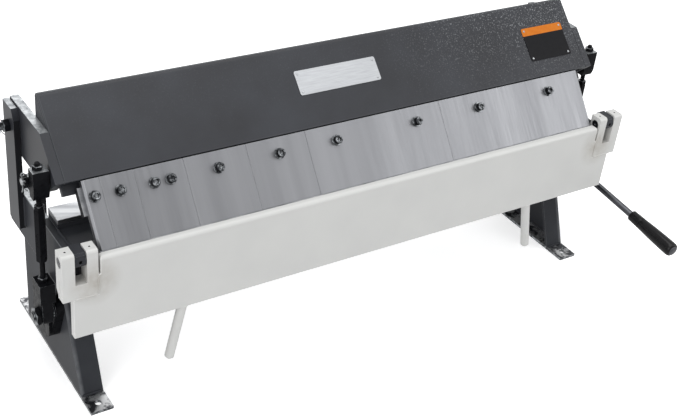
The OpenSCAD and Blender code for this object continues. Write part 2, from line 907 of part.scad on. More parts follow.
module apron_handles() {
    color(pale) from_bend() on_both() difference() {
        translate([handle_x, -apron_t / 3, -apron_h + handle_r]) rotate([0, 180 - handle_splay, 0]) {
            cylinder(h = handle_len, r = handle_r);
            translate([0, 0, handle_len]) cylinder(h = handle_r / 2, r1 = handle_r, r2 = handle_r / 2);
        }
        translate([handle_x, -apron_t / 2, -apron_h + apron_h / 2])
            cube([4 * handle_r, 4 * handle_r, apron_h], center = true);
    }
}

on_side(-1) end_plate();  // left_end_plate
end_plate();  // right_end_plate
on_side(-1) leg();  // left_leg
leg();  // right_leg
foot_plates();
rear_posts();
bed_deck();
bed_front_web();
bed_rear_web();
bed_nose_bar();
bed_rear_bar();
on_side(-1) hinge_block();  // left_hinge_block
hinge_block();  // right_hinge_block
hinge_pins();
hinge_grub_screws();
shaft_hangers();
pivot_bolts();
pivot_nuts();
pivot_split_pins();
clamp_beam();
beam_end_caps();
on_side(-1) beam_arm();  // left_beam_arm
beam_arm();  // right_beam_arm
finger_flange();
finger_rail();
finger(0, 1);  // finger_1_inch
finger(1, 3);  // finger_2_inch
finger(3, 6);  // finger_3_inch
finger(6, 10);  // finger_4_inch_left
finger(10, 14);  // finger_4_inch_right
finger(14, 24);  // finger_10_inch
finger(24, 36);  // finger_12_inch
finger_screws();
finger_washers();
nameplate();
label_plate();
plate_rivets();
swivel_pins();
swivel_nuts();
swivel_split_pins();
on_side(-1) swivel_block();  // left_swivel_block
swivel_block();  // right_swivel_block
on_side(-1) upper_rod();  // left_upper_rod
upper_rod();  // right_upper_rod
on_side(-1) turnbuckle();  // left_turnbuckle
turnbuckle();  // right_turnbuckle
on_side(-1) eye_rod();  // left_eye_rod
eye_rod();  // right_eye_rod
on_side(-1) link_nuts();  // left_link_nuts
link_nuts();  // right_link_nuts
cross_shaft();
eccentric_nuts();
lever_hub();
lever_rod();
lever_grip();
lever_cap();
apron_plate();
on_side(-1) hinge_lug();  // left_hinge_lug
hinge_lug();  // right_hinge_lug
apron_handles();
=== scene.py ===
import json
import math
import random

import bmesh
import bpy
from mathutils import Matrix, Vector


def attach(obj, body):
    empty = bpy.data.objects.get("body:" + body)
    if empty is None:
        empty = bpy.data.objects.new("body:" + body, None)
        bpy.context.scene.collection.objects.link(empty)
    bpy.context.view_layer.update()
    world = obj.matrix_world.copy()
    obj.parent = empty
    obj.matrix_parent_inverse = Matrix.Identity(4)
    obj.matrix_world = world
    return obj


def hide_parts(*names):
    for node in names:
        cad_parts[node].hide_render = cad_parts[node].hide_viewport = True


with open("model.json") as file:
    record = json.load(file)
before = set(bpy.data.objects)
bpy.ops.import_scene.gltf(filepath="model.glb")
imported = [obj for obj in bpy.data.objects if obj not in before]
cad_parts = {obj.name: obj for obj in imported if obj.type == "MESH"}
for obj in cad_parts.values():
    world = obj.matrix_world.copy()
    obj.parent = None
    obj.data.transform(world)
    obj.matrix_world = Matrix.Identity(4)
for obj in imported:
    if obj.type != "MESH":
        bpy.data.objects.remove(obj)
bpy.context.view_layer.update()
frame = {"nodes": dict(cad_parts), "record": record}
node_body = {}
for body_name, members in frame["record"]["behaviour"]["bodies"].items():
    for member in members:
        node_body[member] = body_name

MM = 0.001
ACROSS = Vector((1, 0, 0))
BACK = Vector((0, 1, 0))
UP = Vector((0, 0, 1))
BOTH_SIDES = (-1, 1)

# Photograph's width in pixels, and its camera: focal length in pixels, place and directions
PHOTO_W = 679
FOCAL_PX = 1158.5
SENSOR_MM = 36.0
EYE = Vector((-0.9514, -1.3518, 1.2184))
CAMERA_RIGHT = Vector((0.8393, -0.5349, 0.0972))
CAMERA_UP = Vector((0.2247, 0.5041, 0.8339))

# Light that the room gives to every side, and light that the floor adds for the camera alone
ROOM_LEVEL = 0.42
FLOOR_LIFT = 0.55
FLOOR_SIZE = 16
FLOOR_DROP = 0.5
# Soft boxes: name, width and height, place and aim in metres, and power in watts
SOFT_BOXES = (
    ("overhead", (2.6, 1.8), (0.1, -0.3, 2.6), (0, 0, 0.2), 36),
    ("left_front", (1.6, 1.8), (-2.4, -1.3, 1.5), (0, 0, 0.2), 26),
    ("right_front", (1.4, 1.6), (2.3, -1.9, 1.7), (0.1, 0, 0.25), 22),
    ("behind", (2.4, 1.0), (0.2, 2.2, 1.7), (0, 0, 0.3), 18),
)

# Lengths of the pieces made anew, in millimetres from the middle of the bend line
HOLE_MID_Y = 138.0006
BEND_H = 280.0
WORK_W = 914.4
ARM_IN = 480.0
ARM_OUT = 493.0
END_OUT = 493.5
POST_OUT = 503.0
LEG_IN = 446.0
END_IN = 481.5
LINK_X = 508.0
LINK_Y = 91.0
PIVOT = (218.0, 95.0)
SWIVEL = (105.0, 70.0)
SHAFT = (95.0, -147.622)
PIN = (91.0, -154.55)
GRUB_X = 490.0
GRUB_Y = -10.62
EAR_MIDDLES = (473.0, 507.75)
OIL_HOLE_R = 1.6
FINGER_SLOPE = math.radians(51.3)
FINGER_NOSE = (0.8, 0.3)
BEAM_SLOPE = math.radians(43.6)
BEAM_FOOT = (64.524, 79.543)
LEVER_X = 536.0
LEVER_DROP = math.radians(6)
# The two plates on the beam: left, right, and lowest and highest up the slope
NAMEPLATE_AREA = (-87, 62, 52.5, 92)
LABEL_AREA = (368, 458, 29, 89)
LABEL_BAND = 75

# Rounding of edges, in millimetres: sawn bar, torch-cut plate, folded plate, legs, fittings, thin plates
BAR_ROUND = 0.6
PLATE_ROUND = 1.0
FOLDED_ROUND = 1.6
LEG_ROUND = 2.4
FITTING_ROUND = 0.7
NUT_ROUND = 0.5
SHEET_ROUND = 0.35
# How far down a bar's sides the grinding reaches
GROUND_DOWN = 7.0
# How far back from the bend line the end plates' tops are rubbed bright, partly as a painted reflection
RUBBED_AND_LIT_FROM = 128.0
# Where the enamel's flecks thicken into a painted highlight, to the right and upwards, from first to most
FLECK_HIGHLIGHT_RIGHT = (80, 420)
FLECK_HIGHLIGHT_UP = (365, 430)
# How squarely a face looks along an axis, as a share of 1: square on, mostly and hardly
SQUARE_ON, MOSTLY, HARDLY = 0.9, 0.6, 0.3
# Steps round a turned piece and round a wire, and the turn of a hexagon's side
ROUND_STEPS = 48
WIRE_STEPS = 8
HEX = math.radians(60)

# Numbers of sockets: a mix's amount, colours and result, a sum's terms, and the ends of a range
AMOUNT, FIRST_COLOUR, SECOND_COLOUR, MIXED = 0, 6, 7, 2
FACTOR, ADDED = 1, 2
FROM_LOW, FROM_HIGH, TO_LOW, TO_HIGH = 1, 2, 3, 4
# Numbers of a piece's materials: its faces, its edges or ends, its marked faces and its sides in painted
# shade
FACES, EDGES, MARKED, SHADED_SIDE = 0, 1, 2, 3
AS_FACES = -1


# Camera, light and floor

def make_camera():
    """A camera at the photograph's place, built from its right and up directions."""
    data = bpy.data.cameras.new("camera")
    data.sensor_width = SENSOR_MM
    data.lens = FOCAL_PX * SENSOR_MM / PHOTO_W
    data.clip_start = 0.05
    data.clip_end = 60
    camera = bpy.data.objects.new("camera", data)
    bpy.context.scene.collection.objects.link(camera)
    right = CAMERA_RIGHT.normalized()
    up = (CAMERA_UP - right * CAMERA_UP.dot(right)).normalized()
    turn = Matrix((right, up, right.cross(up))).transposed()
    camera.matrix_world = Matrix.Translation(EYE) @ turn.to_4x4()
    bpy.context.scene.camera = camera


def linear(hex_colour):
    """An sRGB hex colour as linear red, green, blue and alpha."""
    values = [int(hex_colour[i:i + 2], 16) / 255 for i in (1, 3, 5)]
    return [v / 12.92 if v <= 0.04045 else ((v + 0.055) / 1.055) ** 2.4 for v in values] + [1.0]


def add(tree, kind, settings=None, links=None):
    """Adds a shader node, sets its properties or input values, and links its inputs."""
    node = tree.nodes.new(kind)
    for key, value in (settings or {}).items():
        if isinstance(key, str) and hasattr(node, key):
            setattr(node, key, value)
        else:
            node.inputs[key].default_value = value
    for key, source in (links or {}).items():
        tree.links.new(source, node.inputs[key])
    return node


def two_tones(first, second):
    """Settings of a colour mix that goes from one sRGB hex colour to another."""
    return {"data_type": "RGBA", FIRST_COLOUR: linear(first), SECOND_COLOUR: linear(second)}


def seen_itself(tree, kinds):
    """1 for the named kinds of ray, 0 for the rays that only carry light."""
    path = add(tree, "ShaderNodeLightPath")
    total = path.outputs[kinds[0]]
    for kind in kinds[1:]:
        either = add(tree, "ShaderNodeMath", {"operation": "MAXIMUM"}, {0: total, 1: path.outputs[kind]})
        total = either.outputs[0]
    return total


def make_world():
    """White to the camera, to mirrors and to glass, and a soft even room light to all else."""
    world = bpy.data.worlds.new("studio")
    bpy.context.scene.world = world
    world.use_nodes = True
    tree = world.node_tree
    tree.nodes.clear()
    room = add(tree, "ShaderNodeBackground", {"Color": linear("#f2f4f7"), "Strength": ROOM_LEVEL})
    white = add(tree, "ShaderNodeBackground", {"Color": (1, 1, 1, 1), "Strength": 1.0})
    seen = seen_itself(tree, ("Is Camera Ray", "Is Glossy Ray", "Is Transmission Ray"))
    shown = add(tree, "ShaderNodeMixShader", None, {0: seen, 1: room.outputs[0], 2: white.outputs[0]})
    add(tree, "ShaderNodeOutputWorld", None, {"Surface": shown.outputs[0]})


def make_floor():
    """A pale floor that keeps the object's shadow: white where it is lit, and white in mirrors."""
    bpy.ops.mesh.primitive_plane_add(size=FLOOR_SIZE, location=(0, 0, -FLOOR_DROP * MM))
    floor = bpy.context.object
    floor.name = "floor"
    material = bpy.data.materials.new("pale_floor")
    material.use_nodes = True
    tree = material.node_tree
    tree.nodes.clear()
    paper = add(tree, "ShaderNodeBsdfDiffuse", {"Color": linear("#f4f4f4")})
    lift = add(tree, "ShaderNodeEmission", {"Color": (1, 1, 1, 1), "Strength": FLOOR_LIFT})
    lifted = add(tree, "ShaderNodeAddShader", None, {0: paper.outputs[0], 1: lift.outputs[0]})
    to_camera = add(tree, "ShaderNodeMixShader", None,
                    {0: seen_itself(tree, ("Is Camera Ray",)), 1: paper.outputs[0], 2: lifted.outputs[0]})
    white = add(tree, "ShaderNodeEmission", {"Color": (1, 1, 1, 1), "Strength": 1.0})
    mirrored = seen_itself(tree, ("Is Glossy Ray", "Is Transmission Ray"))
    shown = add(tree, "ShaderNodeMixShader", None,
                {0: mirrored, 1: to_camera.outputs[0], 2: white.outputs[0]})
    add(tree, "ShaderNodeOutputMaterial", None, {"Surface": shown.outputs[0]})
    material.cycles.emission_sampling = "NONE"
    floor.data.materials.append(material)


def make_lights():
    """The soft boxes, each turned to its aim."""
    for name, size, place, aim, power in SOFT_BOXES:
        data = bpy.data.lights.new(name, "AREA")
        data.shape = "RECTANGLE"
        data.size, data.size_y = size
        data.energy = power
        light = bpy.data.objects.new(name, data)
        bpy.context.scene.collection.objects.link(light)
        turn = (Vector(aim) - Vector(place)).to_track_quat("-Z", "Y")
        light.matrix_world = Matrix.Translation(place) @ turn.to_matrix().to_4x4()


# Materials

def new_material(name, metallic, roughness, specular=0.5):
    """A named material with its even values set; returns it, its tree, its shader and the places
    on its piece."""
    material = bpy.data.materials.new(name)
    material.use_nodes = True
    tree = material.node_tree
    shader = tree.nodes["Principled BSDF"]
    shader.inputs["Metallic"].default_value = metallic
    shader.inputs["Roughness"].default_value = roughness
    shader.inputs["Specular IOR Level"].default_value = specular
    place = add(tree, "ShaderNodeTexCoord").outputs["Object"]
    return material, tree, shader, place


def lay_on(tree, shader, colour, relief, strength, depth):
    """Gives a shader its colour, and a relief of a depth in millimetres."""
    tree.links.new(colour.outputs[MIXED], shader.inputs["Base Color"])
    bump = add(tree, "ShaderNodeBump", {"Strength": strength, "Distance": depth * MM}, {"Height": relief})
    tree.links.new(bump.outputs[0], shader.inputs["Normal"])


def hammered_enamel(name, dark, light, roughness, specular, flakes):
    """Hammered stoving enamel on steel plate. It dries in shallow dimples about 2 mm across that
    break up reflections, with a faint cloudiness. Metal flakes show as bright flecks, here drawn
    coarser than they are so that they show. Their thickening towards the right end and the top is a
    painted highlight, the lamp's sheen on the dimples."""
    cloud_size, flake_size, dimple_size = 90 * MM, 2.6 * MM, 2.2 * MM
    material, tree, shader, place = new_material(name, 0.0, roughness, specular)
    cloud = add(tree, "ShaderNodeTexNoise", {"Scale": 1 / cloud_size, "Detail": 3.0}, {"Vector": place})
    spread = add(tree, "ShaderNodeMapRange", {FROM_LOW: 0.3, FROM_HIGH: 0.7}, {0: cloud.outputs[0]})
    body = add(tree, "ShaderNodeMix", two_tones(dark, light), {AMOUNT: spread.outputs[0]})
    flake = add(tree, "ShaderNodeTexNoise", {"Scale": 1 / flake_size, "Detail": 3.0, "Roughness": 0.7},
                {"Vector": place})
    bright = add(tree, "ShaderNodeMapRange", {FROM_LOW: 0.56, FROM_HIGH: 0.7, TO_LOW: 0.0, TO_HIGH: flakes},
                 {0: flake.outputs[0]})
    axes = add(tree, "ShaderNodeSeparateXYZ", None, {0: place})
    # Painted highlight: flecks brighten towards the right end and the top
    rightward = add(tree, "ShaderNodeMapRange",
                    {FROM_LOW: FLECK_HIGHLIGHT_RIGHT[0] * MM, FROM_HIGH: FLECK_HIGHLIGHT_RIGHT[1] * MM,
                     TO_LOW: 0.03, TO_HIGH: 0.8}, {0: axes.outputs["X"]})
    upward = add(tree, "ShaderNodeMapRange",
                 {FROM_LOW: FLECK_HIGHLIGHT_UP[0] * MM, FROM_HIGH: FLECK_HIGHLIGHT_UP[1] * MM,
                  TO_LOW: 0.25, TO_HIGH: 1.0}, {0: axes.outputs["Z"]})
    amount = add(tree, "ShaderNodeMath", {"operation": "MULTIPLY"},
                 {0: rightward.outputs[0], 1: upward.outputs[0]})
    shown = add(tree, "ShaderNodeMath", {"operation": "MULTIPLY"},
                {0: amount.outputs[0], 1: bright.outputs[0]})
    flecked = add(tree, "ShaderNodeMix", {"data_type": "RGBA", SECOND_COLOUR: linear("#c4c7ca")},
                  {AMOUNT: shown.outputs[0], FIRST_COLOUR: body.outputs[MIXED]})
    dimple = add(tree, "ShaderNodeTexVoronoi", {"feature": "SMOOTH_F1", "Scale": 1 / dimple_size},
                 {"Vector": place})
    lay_on(tree, shader, flecked, dimple.outputs["Distance"], 0.35, 0.08)
    return material


def rubbed_and_lit_enamel():
    """Tops of the painted plates, rubbed through to the steel: bright metal with grey paint left
    in patches up to 9 mm across, as hands and sheet metal leave it. Its brightness on tops is also
    painted light, the sheen that they catch from above."""
    patch_size = 9 * MM
    material, tree, shader, place = new_material("rubbed_and_lit_enamel", 0.85, 0.42)
    patch = add(tree, "ShaderNodeTexNoise", {"Scale": 1 / patch_size, "Detail": 6.0, "Roughness": 0.65},
                {"Vector": place})
    spread = add(tree, "ShaderNodeMapRange", {FROM_LOW: 0.34, FROM_HIGH: 0.64}, {0: patch.outputs[0]})
    colour = add(tree, "ShaderNodeMix", two_tones("#696c6f", "#aaadaf"), {AMOUNT: spread.outputs[0]})
    lay_on(tree, shader, colour, patch.outputs[0], 0.3, 0.05)
    return material


def rubbed_corner(paint, name, corner, width):
    """A paint that is rubbed lighter in patches along an upright corner, fading over a width."""
    patch_size = 14 * MM
    full_from = corner - width / 3
    material = paint.copy()
    material.name = name
    tree = material.node_tree
    colour = tree.nodes["Principled BSDF"].inputs["Base Color"]
    place = add(tree, "ShaderNodeTexCoord").outputs["Object"]
    axes = add(tree, "ShaderNodeSeparateXYZ", None, {0: place})
    across = add(tree, "ShaderNodeMath", {"operation": "ABSOLUTE"}, {0: axes.outputs["X"]})
    near = add(tree, "ShaderNodeMapRange", {FROM_LOW: (corner - width) * MM, FROM_HIGH: full_from * MM},
               {0: across.outputs[0]})
    patch = add(tree, "ShaderNodeTexNoise", {"Scale": 1 / patch_size, "Detail": 4.0}, {"Vector": place})
    amount = add(tree, "ShaderNodeMath", {"operation": "MULTIPLY"},
                 {0: near.outputs[0], 1: patch.outputs[0]})
    lighter = add(tree, "ShaderNodeMix", {"data_type": "RGBA", SECOND_COLOUR: linear("#7e8083")},
                  {AMOUNT: amount.outputs[0], FIRST_COLOUR: colour.links[0].from_socket})
    tree.links.new(lighter.outputs[MIXED], colour)
    return material


def ground_steel(name, dark, light, stroke, turn, roughness):
    """Mild steel, surface ground. The wheel leaves fine straight strokes, here drawn 0.8 to 2 mm
    apart so that they show, with broad paler and darker passes between them."""
    strokes_to_a_pass = 16
    material, tree, shader, place = new_material(name, 1.0, roughness)
    along = add(tree, "ShaderNodeMapping", {"Rotation": turn}, {"Vector": place}).outputs[0]
    fine = add(tree, "ShaderNodeMapping", {"Scale": [1 / (s * MM) for s in stroke]}, {"Vector": along})
    scratch = add(tree, "ShaderNodeTexNoise", {"Scale": 1.0, "Detail": 5.0, "Roughness": 0.6},
                  {"Vector": fine.outputs[0]})
    broad = add(tree, "ShaderNodeMapping", {"Scale": [1 / (s * strokes_to_a_pass * MM) for s in stroke]},
                {"Vector": along})
    passes = add(tree, "ShaderNodeTexNoise", {"Scale": 1.0, "Detail": 2.0}, {"Vector": broad.outputs[0]})
    both = add(tree, "ShaderNodeMath", {"operation": "MULTIPLY_ADD", FACTOR: 0.45},
               {0: scratch.outputs[0], ADDED: passes.outputs[0]})
    spread = add(tree, "ShaderNodeMapRange", {FROM_LOW: 0.5, FROM_HIGH: 0.98}, {0: both.outputs[0]})
    colour = add(tree, "ShaderNodeMix", two_tones(dark, light), {AMOUNT: spread.outputs[0]})
    uneven = 0.07
    worn = add(tree, "ShaderNodeMapRange",
               {FROM_LOW: 0.3, FROM_HIGH: 0.7, TO_LOW: roughness - uneven, TO_HIGH: roughness + uneven},
               {0: scratch.outputs[0]})
    tree.links.new(worn.outputs[0], shader.inputs["Roughness"])
    lay_on(tree, shader, colour, scratch.outputs[0], 0.14, 0.02)
    return material


def mill_steel():
    """Hot rolled flat bar, bare. Bright where it is scuffed, with dark mill scale and oil in
    blotches about 20 mm across and pits about 2 mm across."""
    blotch_size, pit_size = 22 * MM, 2 * MM
    material, tree, shader, place = new_material("mill_steel", 0.9, 0.4)
    blotch = add(tree, "ShaderNodeTexNoise",
                 {"Scale": 1 / blotch_size, "Detail": 7.0, "Roughness": 0.68, "Distortion": 0.6},
                 {"Vector": place})
    spread = add(tree, "ShaderNodeMapRange", {FROM_LOW: 0.44, FROM_HIGH: 0.54}, {0: blotch.outputs[0]})
    colour = add(tree, "ShaderNodeMix", two_tones("#37383c", "#bcbdbe"), {AMOUNT: spread.outputs[0]})
    pits = add(tree, "ShaderNodeTexNoise", {"Scale": 1 / pit_size, "Detail": 3.0}, {"Vector": place})
    lay_on(tree, shader, colour, pits.outputs[0], 0.4, 0.06)
    return material


def black_oxide():
    """Blackened steel, oiled. Near black and glossy, with faint smears of oil that change its
    gloss and small tool marks under the finish."""
    smear_size, mark_size = 11 * MM, 1.5 * MM
    material, tree, shader, place = new_material("black_oxide", 0.0, 0.34, 0.04)
    smear = add(tree, "ShaderNodeTexNoise", {"Scale": 1 / smear_size, "Detail": 5.0, "Distortion": 1.2},
                {"Vector": place})
    colour = add(tree, "ShaderNodeMix", two_tones("#0a0a0c", "#1c1d20"), {AMOUNT: smear.outputs[0]})
    gloss = add(tree, "ShaderNodeMapRange", {FROM_LOW: 0.3, FROM_HIGH: 0.7, TO_LOW: 0.2, TO_HIGH: 0.45},
                {0: smear.outputs[0]})
    tree.links.new(gloss.outputs[0], shader.inputs["Roughness"])
    marks = add(tree, "ShaderNodeTexNoise", {"Scale": 1 / mark_size, "Detail": 2.0}, {"Vector": place})
    lay_on(tree, shader, colour, marks.outputs[0], 0.3, 0.04)
    return material


def rubbed_oxide_and_glint():
    """Corners of the blackened pieces, where handling has rubbed them back to grey steel. On nut tops,
    chamfers and thread flanks the same grey is also a painted glint.
    """
    patch_size = 5 * MM
    material, tree, shader, place = new_material("rubbed_oxide_and_glint", 0.8, 0.36)
    patch = add(tree, "ShaderNodeTexNoise", {"Scale": 1 / patch_size, "Detail": 4.0}, {"Vector": place})
    spread = add(tree, "ShaderNodeMapRange", {FROM_LOW: 0.4, FROM_HIGH: 0.62}, {0: patch.outputs[0]})
    colour = add(tree, "ShaderNodeMix", two_tones("#2b2d30", "#8b8e91"), {AMOUNT: spread.outputs[0]})
    tree.links.new(colour.outputs[MIXED], shader.inputs["Base Color"])
    return material


def plated_metal(name, dark, light, roughness):
    """Bright zinc plating, new or dulled by handling: grey metal, a little cloudy, with a fine grain."""
    cloud_size = 6 * MM
    material, tree, shader, place = new_material(name, 1.0, roughness)
    cloud = add(tree, "ShaderNodeTexNoise", {"Scale": 1 / cloud_size, "Detail": 4.0}, {"Vector": place})
    colour = add(tree, "ShaderNodeMix", two_tones(dark, light), {AMOUNT: cloud.outputs[0]})
    lay_on(tree, shader, colour, cloud.outputs[0], 0.2, 0.02)
    return material


def pale_enamel(name, tone, grime_and_shade):
    """Pale grey stoving enamel on the apron. Smooth, with orange peel about 2 mm across, a very
    faint cloudiness, and a brownish darkening beside the hinges, partly grease and partly painted shade
    where the ears join."""
    cloud_size, streak_size, peel_size = 70 * MM, 12 * MM, 2 * MM
    darkest_within, fades_out_at = 8 * MM, 42 * MM
    hinge_spot = abs_place(470, -12, -38)
    material, tree, shader, place = new_material(name, 0.0, 0.36, 0.4)
    cloud = add(tree, "ShaderNodeTexNoise", {"Scale": 1 / cloud_size, "Detail": 4.0}, {"Vector": place})
    body = add(tree, "ShaderNodeMix", two_tones(tone, "#d6d6d3"), {AMOUNT: cloud.outputs[0]})
    either = add(tree, "ShaderNodeVectorMath", {"operation": "ABSOLUTE"}, {0: place})
    near = add(tree, "ShaderNodeVectorMath", {"operation": "DISTANCE", 1: hinge_spot},
               {0: either.outputs[0]})
    # Painted shade with grease: brownish darkening close to the hinge ears
    close = add(tree, "ShaderNodeMapRange",
                {FROM_LOW: darkest_within, FROM_HIGH: fades_out_at, TO_LOW: grime_and_shade, TO_HIGH: 0.0},
                {0: near.outputs["Value"]})
    streak = add(tree, "ShaderNodeTexNoise", {"Scale": 1 / streak_size, "Detail": 6.0, "Roughness": 0.6},
                 {"Vector": place})
    rubbed = add(tree, "ShaderNodeMath", {"operation": "MULTIPLY"},
                 {0: close.outputs[0], 1: streak.outputs[0]})
    colour = add(tree, "ShaderNodeMix", {"data_type": "RGBA", SECOND_COLOUR: linear("#8f8474")},
                 {AMOUNT: rubbed.outputs[0], FIRST_COLOUR: body.outputs[MIXED]})
    peel = add(tree, "ShaderNodeTexNoise", {"Scale": 1 / peel_size, "Detail": 1.0}, {"Vector": place})
    lay_on(tree, shader, colour, peel.outputs[0], 0.15, 0.03)
    return material


def satin_aluminium():
    """Anodised aluminium sheet, brushed along its length: pale satin metal, its strokes drawn
    0.8 mm apart so that they show."""
    stroke = (25 * MM, 0.8 * MM, 0.8 * MM)
    material, tree, shader, place = new_material("satin_aluminium", 1.0, 0.38)
    fine = add(tree, "ShaderNodeMapping", {"Scale": [1 / s for s in stroke]}, {"Vector": place})
    brush = add(tree, "ShaderNodeTexNoise", {"Scale": 1.0, "Detail": 4.0}, {"Vector": fine.outputs[0]})
    colour = add(tree, "ShaderNodeMix", two_tones("#8e9093", "#b6b8bb"), {AMOUNT: brush.outputs[0]})
    lay_on(tree, shader, colour, brush.outputs[0], 0.2, 0.02)
    return material


def printed_aluminium():
    """Screen printed aluminium plate: an orange band over a black field, both satin, with the
    print a little uneven."""
    grain_size = 7 * MM
    material, tree, shader, place = new_material("printed_aluminium", 0.0, 0.4, 0.1)
    height = add(tree, "ShaderNodeSeparateXYZ", None, {0: place})
    band = add(tree, "ShaderNodeMath", {"operation": "GREATER_THAN", 1: on_beam(0, LABEL_BAND, 1).z},
               {0: height.outputs["Z"]})
    grain = add(tree, "ShaderNodeTexNoise", {"Scale": 1 / grain_size, "Detail": 4.0}, {"Vector": place})
    orange = add(tree, "ShaderNodeMix", two_tones("#c0651c", "#d47f2c"), {AMOUNT: grain.outputs[0]})
    black = add(tree, "ShaderNodeMix", two_tones("#0e0e10", "#18181b"), {AMOUNT: grain.outputs[0]})
    colour = add(tree, "ShaderNodeMix", {"data_type": "RGBA"},
                 {AMOUNT: band.outputs[0], FIRST_COLOUR: black.outputs[MIXED],
                  SECOND_COLOUR: orange.outputs[MIXED]})
    lay_on(tree, shader, colour, grain.outputs[0], 0.15, 0.02)
    return material


def moulded_plastic():
    """Black phenolic grip, moulded and polished: deep black with a clear shine and faint wear."""
    wear_size = 8 * MM
    material, tree, shader, place = new_material("moulded_plastic", 0.0, 0.16, 0.2)
    wear = add(tree, "ShaderNodeTexNoise", {"Scale": 1 / wear_size, "Detail": 4.0}, {"Vector": place})
    colour = add(tree, "ShaderNodeMix", two_tones("#070708", "#121214"), {AMOUNT: wear.outputs[0]})
    tree.links.new(colour.outputs[MIXED], shader.inputs["Base Color"])
    gloss = add(tree, "ShaderNodeMapRange", {FROM_LOW: 0.3, FROM_HIGH: 0.7, TO_LOW: 0.1, TO_HIGH: 0.22},
                {0: wear.outputs[0]})
    tree.links.new(gloss.outputs[0], shader.inputs["Roughness"])
    return material


# Places

def bend(x, y, z):
    """A place given in millimetres from the middle of the bend line."""
    return Vector((x, y - HOLE_MID_Y, z + BEND_H)) * MM


def abs_place(x, y, z):
    """The same, with every coordinate made positive, to match both sides at once."""
    return [abs(v) for v in bend(x, y, z)]


def on_fingers(x, up, out):
    """A place up the fingers' slope and out from their front face."""
    return bend(x, FINGER_NOSE[0] + up * math.cos(FINGER_SLOPE) - out * math.sin(FINGER_SLOPE),
                FINGER_NOSE[1] + up * math.sin(FINGER_SLOPE) + out * math.cos(FINGER_SLOPE))


def on_beam(x, up, out):
    """A place up the beam's front face and out from it."""
    return bend(x, BEAM_FOOT[0] + up * math.cos(BEAM_SLOPE) - out * math.sin(BEAM_SLOPE),
                BEAM_FOOT[1] + up * math.sin(BEAM_SLOPE) + out * math.cos(BEAM_SLOPE))


# Mesh tools

def new_piece(name, bm, materials, body, node=None, sharp=35):
    """Turns a bmesh in metres into a piece that rides on a body, and may stand for a node."""
    mesh = bpy.data.meshes.new(name)
    bmesh.ops.recalc_face_normals(bm, faces=bm.faces)
    bm.to_mesh(mesh)
    bm.free()
    for material in materials:
        mesh.materials.append(material)
    for polygon in mesh.polygons:
        polygon.use_smooth = True
    mesh.set_sharp_from_angle(angle=math.radians(sharp))
    piece = bpy.data.objects.new(name, mesh)
    bpy.context.scene.collection.objects.link(piece)
    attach(piece, body)
    if node:
        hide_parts(node)
    return piece


def finished(node, bm, materials, sharp=35):
    """A piece made anew in the place of a CAD node, riding on the node's body."""
    return new_piece(node + "_finished", bm, materials, node_body[node], node, sharp)


def soften(piece, width, edge):
    """Rounds the hard edges by a width in millimetres. The rounds may take another material."""
    bevel = piece.modifiers.new("edge_round", "BEVEL")
    bevel.width = width * MM
    bevel.segments = 3
    bevel.limit_method = "ANGLE"
    bevel.angle_limit = math.radians(32)
    bevel.use_clamp_overlap = True
    bevel.material = edge
    shade = piece.modifiers.new("even_shading", "WEIGHTED_NORMAL")
    shade.keep_sharp = False
    shade.weight = 60


def from_node(node):
    """A clean copy of a CAD node's surface: corners welded, flat faces whole."""
    same_corner, flat = 0.02 * MM, math.radians(1.0)
    bm = bmesh.new()
    bm.from_mesh(frame["nodes"][node].data)
    bmesh.ops.remove_doubles(bm, verts=bm.verts, dist=same_corner)
    bmesh.ops.dissolve_limit(bm, angle_limit=flat, verts=bm.verts, edges=bm.edges)
    return bm


def dress(node, materials, width, edge=AS_FACES, marked=None, cut=None):
    """Replaces a CAD node by the same shape with rounded edges. Faces that are marked, by a test of
    their normal and middle, take the material of the number that it gives. A cut, by a place and
    a direction, divides the faces that cross it."""
    bm = from_node(node)
    if cut:
        whole = bm.verts[:] + bm.edges[:] + bm.faces[:]
        bmesh.ops.bisect_plane(bm, geom=whole, plane_co=cut[0], plane_no=cut[1])
    bmesh.ops.recalc_face_normals(bm, faces=bm.faces)
    for face in bm.faces:
        face.material_index = marked(face.normal, face.calc_center_median()) if marked else FACES
    soften(finished(node, bm, materials, sharp=180), width, edge)


def turned(bm, loops, place, axis, side, ring=False):
    """Skins loops of points round an axis. A loop lists radius and distance along, in millimetres,
    for equal turns from the side direction. A ring joins its last loop to its first."""
    across = axis.cross(side)
    rows = []
    for loop in loops:
        row = []
        for number, (radius, along) in enumerate(loop):
            turn = 2 * math.pi * number / len(loop)
            out = side * math.cos(turn) + across * math.sin(turn)
            row.append(bm.verts.new(place + (out * radius + axis * along) * MM))
        rows.append(row)
    joins = list(zip(rows, rows[1:]))
    if ring:
        joins.append((rows[-1], rows[0]))
    else:
        bm.faces.new(rows[0])
        bm.faces.new(rows[-1])
    for low, high in joins:
        for number in range(len(low)):
            bm.faces.new((low[number - 1], low[number], high[number], high[number - 1]))


def circle(radius, along, steps=ROUND_STEPS):
    """A round loop."""
    return [(radius, along)] * steps


def circles(profile, steps=ROUND_STEPS):
    """Round loops for a profile of radius and distance along."""
    return [circle(radius, along, steps) for radius, along in profile]


def hexagon(flats, along, steps=ROUND_STEPS, inset=0.0, rise=0.0):
    """A hexagonal loop by its size across the flats. The rise moves its corners along the axis, as
    far as a chamfer that starts at the inset circle cuts into them."""
    loop = []
    for number in range(steps):
        turn = (2 * math.pi * number / steps) % HEX
        radius = flats / 2 / math.cos(HEX / 2 - turn)
        loop.append((radius, along + rise * (radius - flats / 2 * (1 - inset)) * math.tan(HEX / 2)))
    return loop


def hex_loops(flats, start, end):
    """A chamfered hexagonal length: end circle, two hexagons with scalloped corners, end circle."""
    inset = 0.05
    face = flats / 2 * (1 - inset)
    return [circle(face, start), hexagon(flats, start, inset=inset, rise=1.0),
            hexagon(flats, end, inset=inset, rise=-1.0), circle(face, end)]


